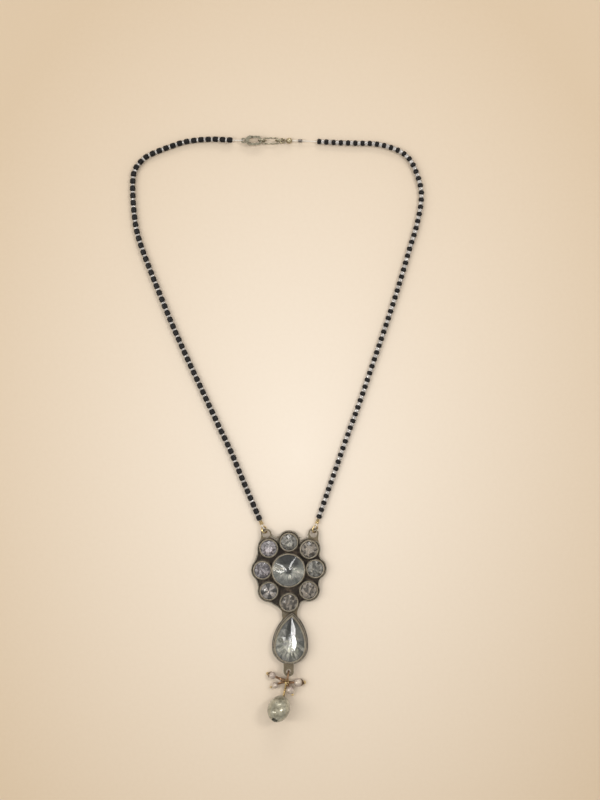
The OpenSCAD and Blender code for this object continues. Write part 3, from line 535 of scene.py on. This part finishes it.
level = math.cos(PEARL_TILT)
pearl_axis = Vector((math.cos(PEARL_HEADING) * level, math.sin(PEARL_HEADING) * level, math.sin(PEARL_TILT)))
lower_end = math.asin(PEARL_BORE_R / PEARL_HALF_WIDE)
upper_end = math.asin(PEARL_MOUTH_R / PEARL_HALF_WIDE)
profile = [(PEARL_BORE_R, PEARL_BORE_START)]
for step in range(PEARL_STEPS + 1):
    turn = lower_end + (math.pi - lower_end - upper_end) * step / PEARL_STEPS
    profile.append((PEARL_HALF_WIDE * math.sin(turn), -PEARL_HALF_LONG * math.cos(turn)))
shaded_hole_start = len(profile)
rim_at = profile[-1][1]
profile += [(PEARL_MOUTH_R * share, rim_at + rise) for share, rise in PEARL_MOUTH_STEPS]
profile.append((PEARL_BORE_R, rim_at + PEARL_MOUTH_END))
pearl_middle = middle_of("big_pearl") + PEARL_LIFT
big_pearl = lathe("big_pearl_bead", profile, pearl_middle, pearl_axis, PEARL_SIDES, PEARL_LUMP,
                  core=range(shaded_hole_start, len(profile)))
big_coat = pearl_coat("big_pearl_coat", pale=(0.44, 0.41, 0.31), tinge=(0.22, 0.2, 0.14),
                      spot=(0.09, 0.08, 0.05), spotting=0.15)
# Painted shade: the inside of the drill hole gets a near-black coat.
hole_painted_shade = pearl_coat("big_pearl_core", pale=(0.05, 0.045, 0.025), tinge=(0.03, 0.027, 0.015),
                       spot=(0.015, 0.012, 0.008), spotting=0.1)
big_pearl.data.materials.append(big_coat)
big_pearl.data.materials.append(hole_painted_shade)
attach(big_pearl, "necklace")
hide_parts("big_pearl")

# Between its eye and its pearl each pin is wrapped with fine wire, copper on the small pearls' pins and
# gilt on the big one's. It is wound by hand, in a close coil.
PIN_EYE_R = 0.95 * MM
PIN_PAST_PEARL = 0.2 * MM
BIG_PIN_PAST_PEARL = 0.6 * MM
WRAP_R = 0.36 * MM
WRAP_PITCH = 0.3 * MM
WRAP_WIRE_R = 0.13 * MM
WRAP_GAP = 0.1 * MM
COPPER_WRAP = {
    "Start radius": WRAP_R * 1.9,
    "End radius": WRAP_R,
    "Pitch": WRAP_PITCH,
    "Wire radius": WRAP_WIRE_R}
GILT_WRAP = {
    "Start radius": WRAP_R,
    "End radius": WRAP_R,
    "Pitch": WRAP_PITCH * 1.1,
    "Wire radius": WRAP_WIRE_R * 1.2}
GILT_WRAP_GAP = 0.2 * MM
TURN_SIDES = 14
WIRE_SIDES = 7


def pearl_on_pin(number):
    """Middle and radius of a small pearl, the middle of its pin's eye, and the way from eye to pearl."""
    low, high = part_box(f"small_pearl_{number}")
    middle = (low + high) / 2
    radius = (high.z - low.z) / 2
    ring = middle_of("drop_ring")
    near = [v.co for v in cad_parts[f"pearl_pin_{number}"].data.vertices
            if (v.co - middle).dot(ring - middle) > 0 and (v.co - middle).length > radius + PIN_PAST_PEARL]
    eye_middle = sum(near, Vector()) / len(near)
    return middle, radius, eye_middle, (middle - eye_middle).normalized()


def new_tree(name, size_names):
    """A tree for shapes, the identifiers of its sizes by name, and what its inputs give."""
    tree = bpy.data.node_groups.new(name, "GeometryNodeTree")
    tree.interface.new_socket(name="Geometry", in_out="OUTPUT", socket_type="NodeSocketGeometry")
    tree.interface.new_socket(name="Geometry", in_out="INPUT", socket_type="NodeSocketGeometry")
    sizes = {
        size: tree.interface.new_socket(name=size, in_out="INPUT", socket_type="NodeSocketFloat").identifier
        for size in size_names}
    return tree, sizes, tree.nodes.new("NodeGroupInput").outputs


def set_on_points(tree, points, piece, finish, **scale):
    """Ends a tree with its piece on every point, turned along the point's own way, in its finish."""
    way = add(tree, "GeometryNodeInputNamedAttribute", {"Name": "way"}, data_type="FLOAT_VECTOR")[0]
    turned = add(tree, "FunctionNodeAlignRotationToVector", {"Vector": way}, axis="Z")[0]
    placed = add(tree, "GeometryNodeInstanceOnPoints", {
        "Points": points, "Instance": piece, "Rotation": turned, **scale})[0]
    real = add(tree, "GeometryNodeRealizeInstances", {"Geometry": placed})[0]
    smooth = add(tree, "GeometryNodeSetShadeSmooth", {"Geometry": real})[0]
    dressed = add(tree, "GeometryNodeSetMaterial", {"Geometry": smooth, "Material": finish})[0]
    tree.links.new(dressed, tree.nodes.new("NodeGroupOutput").inputs[0])


def coil_tree(name, finish):
    """Round wire in a screw along the way of every point."""
    tree, sizes, given = new_tree(name, ("Start radius", "End radius", "Length", "Pitch", "Wire radius"))
    turns = calc(tree, "DIVIDE", given["Length"], given["Pitch"])
    screw = add(tree, "GeometryNodeCurveSpiral", {
        "Resolution": TURN_SIDES, "Rotations": turns, "Start Radius": given["Start radius"],
        "End Radius": given["End radius"], "Height": given["Length"]})[0]
    section = add(tree, "GeometryNodeCurvePrimitiveCircle", {
        "Resolution": WIRE_SIDES, "Radius": given["Wire radius"]})["Curve"]
    wire = add(tree, "GeometryNodeCurveToMesh", {
        "Curve": screw, "Profile Curve": section, "Fill Caps": True})[0]
    set_on_points(tree, given["Geometry"], wire, finish)
    return tree, sizes


def grow(name, tree, sizes, values, starts, ways, slot):
    """Runs a tree on points with a way each, and keeps the result as a plain mesh."""
    points = bpy.data.meshes.new(name + "_points")
    points.from_pydata(starts, [], [])
    points.attributes.new("way", "FLOAT_VECTOR", "POINT").data.foreach_set(
        "vector", [c for way in ways for c in way])
    carrier = new_object(name + "_points", points)
    grown = carrier.modifiers.new("grown", "NODES")
    grown.node_group = tree
    for size, value in values.items():
        grown[sizes[size]] = value
    bpy.context.view_layer.update()
    ready = carrier.evaluated_get(bpy.context.evaluated_depsgraph_get())
    made = new_object(name, bpy.data.meshes.new_from_object(ready))
    bpy.data.objects.remove(carrier)
    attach(made, "necklace")


copper_coil = coil_tree("wire_wrap", copper_wire)
for number in range(1, 5):
    middle, radius, eye_middle, way = pearl_on_pin(number)
    length = (middle - eye_middle).length - PIN_EYE_R - radius - WRAP_GAP
    grow(f"pin_wrap_{number}", *copper_coil, {**COPPER_WRAP, "Length": length},
         [eye_middle + way * PIN_EYE_R], [way], "copper_wire")
pearl_top = pearl_middle - pearl_axis * PEARL_HALF_LONG
shaft = [v.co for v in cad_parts["big_pearl_pin"].data.vertices
         if (v.co - pearl_middle).length > PEARL_HALF_LONG + BIG_PIN_PAST_PEARL]
eye_middle = sum(shaft, Vector()) / len(shaft)
way = (pearl_top - eye_middle).normalized()
length = (pearl_top - eye_middle).length - PIN_EYE_R - GILT_WRAP_GAP
grow("big_pin_wrap", *coil_tree("gilt_wrap", gold_wire), {**GILT_WRAP, "Length": length},
     [eye_middle + way * PIN_EYE_R], [way], "gold_wire")

# Two of the small pearls end in a little brown cone of sheet metal. It fits over the pearl's outer end
# and is held by the ball of the pin.
CAP_T = 0.12 * MM
CAP_GAP = 0.04 * MM
CAP_OPENING = math.radians(52)
CAP_CLOSING = 0.7
CAP_STEPS = 6
CAP_SIDES = 32
CAP_LUMP = 0.02 * MM
CAP_TIPS = {1: 0.62 * MM, 4: 0.8 * MM}

brown_brass = drawn_wire("browned_brass", bright=(0.4, 0.29, 0.16), dull=(0.13, 0.085, 0.055), dullness=0.6)
for number, tip_r in CAP_TIPS.items():
    middle, radius, eye_middle, way = pearl_on_pin(number)
    inner_r = radius + CAP_GAP
    turns = [CAP_OPENING * (1 - CAP_CLOSING * step / CAP_STEPS) for step in range(CAP_STEPS + 1)]
    inner = [(inner_r * math.sin(turn), inner_r * math.cos(turn)) for turn in turns]
    outer = [(inner[-1][0], inner_r + tip_r), (tip_r, inner_r + tip_r * 0.9),
             (inner[2][0] + CAP_T, inner[2][1] + CAP_T), (inner[0][0] + CAP_T, inner[0][1])]
    cap = lathe(f"pearl_cap_{number}", inner + outer, middle, way, CAP_SIDES, CAP_LUMP)
    cap.data.materials.append(brown_brass)
    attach(cap, "necklace")

# Each side of the loop is strung on one pale thread, which is tied round the lug's ring at one end and
# through the clasp's eye or the bead tip at the other.
THREAD_RELIEF = 0.06 * MM

thread_finish, tree, shader = new_finish("pale_thread")
ply = grain(tree, rest_place(tree), per_mm=5.0)
wire_up(tree, shader, {
    "Base Color": mix_colours(tree, ply, (0.62, 0.56, 0.47), (0.86, 0.82, 0.75)),
    "Roughness": 0.75,
    "Sheen Weight": 0.2,
    "Normal": relief(tree, ply, THREAD_RELIEF, strength=0.8)})
dress("thread_left", thread_finish)
dress("thread_right", thread_finish)

# The black beads are opaque glass, cut from cane and tumbled, so each is a short barrel with soft ends
# and a skin that is dull in patches. They are strung on the thread through their bores.
BLACK = (0.004, 0.003, 0.003)
WORN_BLACK = (0.014, 0.012, 0.011)
BEAD_EDGE_R = 0.12 * MM
BEAD_RELIEF = 0.03 * MM

black_finish, tree, shader = new_finish("black_glass")
place = rest_place(tree)
tumble = grain(tree, place, per_mm=1.2, detail=4.0)
pits = grain(tree, place, per_mm=6.0, detail=2.0)
wire_up(tree, shader, {
    "Base Color": mix_colours(tree, spread(tree, tumble, 0.4, 0.65), BLACK, WORN_BLACK),
    "Roughness": spread(tree, tumble, *NOISE_ENDS, 0.3, 0.5),
    "Specular IOR Level": 0.2,
    "Normal": rounded(tree, BEAD_EDGE_R, calc(tree, "ADD", tumble, pits), BEAD_RELIEF, strength=0.4)})
dress("beads_left", black_finish)
dress("beads_right", black_finish)

# Between two black beads sits one clear seed bead with a silver lining. It is a thin ring on the left
# side and a longer one on the right, and no two are quite alike.
SPACER_SIDES = 14
SPACER_SEED = 7
SPACER_LEAST = (0.93, 0.93, 0.94)
SPACER_MOST = (1.05, 1.05, 1.0)
SPACER_HOLE_R = 0.3 * MM
SPACER_RELIEF = 0.03 * MM
SAME_POINT = 0.001 * MM


def bead_middles(node):
    """Middles of the beads of a string, in the order they are strung."""
    shape = bmesh.new()
    shape.from_mesh(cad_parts[node].data)
    bmesh.ops.remove_doubles(shape, verts=shape.verts, dist=SAME_POINT)
    shape.verts.ensure_lookup_table()
    seen = set()
    middles = []
    for start in shape.verts:
        if start.index in seen:
            continue
        seen.add(start.index)
        bead = []
        front = [start]
        while front:
            vert = front.pop()
            bead.append(vert.co.copy())
            for edge in vert.link_edges:
                beside = edge.other_vert(vert)
                if beside.index not in seen:
                    seen.add(beside.index)
                    front.append(beside)
        low = Vector(min(c[i] for c in bead) for i in range(3))
        high = Vector(max(c[i] for c in bead) for i in range(3))
        middles.append((low + high) / 2)
    shape.free()
    return middles


def spacer_tree(name, finish):
    """Rings of glass with soft edges along the way of every point, each of a slightly different size."""
    tree, sizes, given = new_tree(name, ("Outer radius", "Hole radius", "Length"))
    wall = calc(tree, "SUBTRACT", given["Outer radius"], given["Hole radius"])
    wall_middle = calc(tree, "ADD", given["Hole radius"], calc(tree, "MULTIPLY", wall, 0.5))
    round_way = add(tree, "GeometryNodeCurvePrimitiveCircle", {
        "Resolution": SPACER_SIDES, "Radius": wall_middle})["Curve"]
    section = add(tree, "GeometryNodeCurvePrimitiveQuadrilateral", {
        "Width": wall, "Height": given["Length"]})["Curve"]
    soft_section = add(tree, "GeometryNodeFilletCurve", {
        "Curve": section, "Count": 2, "Radius": calc(tree, "MULTIPLY", wall, 0.35)}, mode="POLY")[0]
    barrel = add(tree, "GeometryNodeCurveToMesh", {"Curve": round_way, "Profile Curve": soft_section})[0]
    unlike = add(tree, "FunctionNodeRandomValue", {
        "Min": SPACER_LEAST, "Max": SPACER_MOST, "Seed": SPACER_SEED}, data_type="FLOAT_VECTOR")[0]
    set_on_points(tree, given["Geometry"], barrel, finish, Scale=unlike)
    return tree, sizes


def string_spacers(name, node, outer_r, length):
    """One clear bead in every gap of a string of black beads."""
    middles = bead_middles(node)
    gaps = [(a + b) / 2 for a, b in zip(middles, middles[1:])]
    ways = [(b - a).normalized() for a, b in zip(middles, middles[1:])]
    values = {"Outer radius": outer_r, "Hole radius": SPACER_HOLE_R, "Length": length}
    grow(name, *spacers, values, gaps, ways, "clear_glass")


spacer_finish, tree, shader = new_finish("silver_lined_glass")
lining = grain(tree, rest_place(tree), per_mm=1.0)
wire_up(tree, shader, {
    "Base Color": mix_colours(tree, spread(tree, lining, 0.35, 0.65), (0.72, 0.69, 0.65), (0.4, 0.37, 0.34)),
    "Metallic": 0.25,
    "Roughness": spread(tree, lining, *NOISE_ENDS, 0.12, 0.3),
    "Transmission Weight": 0.3,
    "IOR": 1.5,
    "Normal": relief(tree, lining, SPACER_RELIEF, strength=0.3)})
spacers = spacer_tree("spacer_beads", spacer_finish)
string_spacers("spacers_left", "beads_left", outer_r=1.14 * MM, length=0.88 * MM)
string_spacers("spacers_right", "beads_right", outer_r=1.16 * MM, length=1.52 * MM)

# Between the last bead and the lug ring a thread runs in a sleeve of fine coiled gilt wire, which widens
# over the thread's loop.
SLEEVE = {"Start radius": 0.5 * MM, "End radius": 0.8 * MM, "Pitch": 0.36 * MM, "Wire radius": 0.16 * MM}
SLEEVE_GAP = 0.2 * MM
LUG_RING_R = 1.5 * MM
THREAD_LOOP_R = 1.05 * MM
BEAD_LENGTHS = {"left": 2.35 * MM, "right": 1.7 * MM}

sleeve_coil = coil_tree("gilt_sleeve", gold_wire)
for side_name, bead_length in BEAD_LENGTHS.items():
    ring = middle_of(f"lug_ring_{side_name}")
    last = min(bead_middles(f"beads_{side_name}"), key=lambda bead: (bead - ring).length)
    way = (ring - last).normalized()
    start = last + way * (bead_length / 2 + SLEEVE_GAP)
    length = (ring - start).length - LUG_RING_R - THREAD_LOOP_R
    grow(f"thread_sleeve_{side_name}", *sleeve_coil, {**SLEEVE, "Length": length},
         [start], [way], "gold_wire")

# The clasp is a small plated lobster claw. A bare ring, a long link and a second ring join it to the
# bead tip of the other side, whose thread is held by a flattened crimp.
PLATE_SKY_REACH = 0.6 * MM
PLATE_EDGE_R = 0.1 * MM
PLATE_RELIEF = 0.02 * MM
PLATE_SHELTER = 0.35


def plated(name, bright, dull):
    """Plated metal that is duller and darker in patches, and more so where nearby metal shelters it."""
    finish, tree, shader = new_finish(name)
    place = rest_place(tree)
    cloud = grain(tree, place, per_mm=0.7, detail=4.0, rough=0.6)
    fine = grain(tree, place, per_mm=6.0)
    # Darker and duller where ambient occlusion finds nearby metal.
    open_share = calc(tree, "MULTIPLY", open_sky(tree, PLATE_SKY_REACH), PLATE_SHELTER)
    dull_share = spread(tree, calc(tree, "SUBTRACT", cloud, open_share), 0.08, 0.3)
    wire_up(tree, shader, {
        "Base Color": mix_colours(tree, dull_share, bright, dull),
        "Metallic": 1.0,
        "Roughness": calc(tree, "ADD", between(tree, dull_share, 0.22, 0.45), waver(tree, fine, 0.05)),
        "Normal": rounded(tree, PLATE_EDGE_R, fine, PLATE_RELIEF, strength=0.4)})
    return finish


clasp_plate = plated("plated_clasp", bright=(0.5, 0.46, 0.34), dull=(0.14, 0.115, 0.08))
for node in ("clasp_body", "clasp_lever", "clasp_ring", "clasp_link", "clasp_end_ring"):
    dress(node, clasp_plate)
dress("bead_tip", plated("dull_gilt", bright=(0.5, 0.43, 0.28), dull=(0.2, 0.16, 0.1)))
dress("crimp", plated("dark_crimp", bright=(0.3, 0.27, 0.24), dull=(0.1, 0.08, 0.07)))
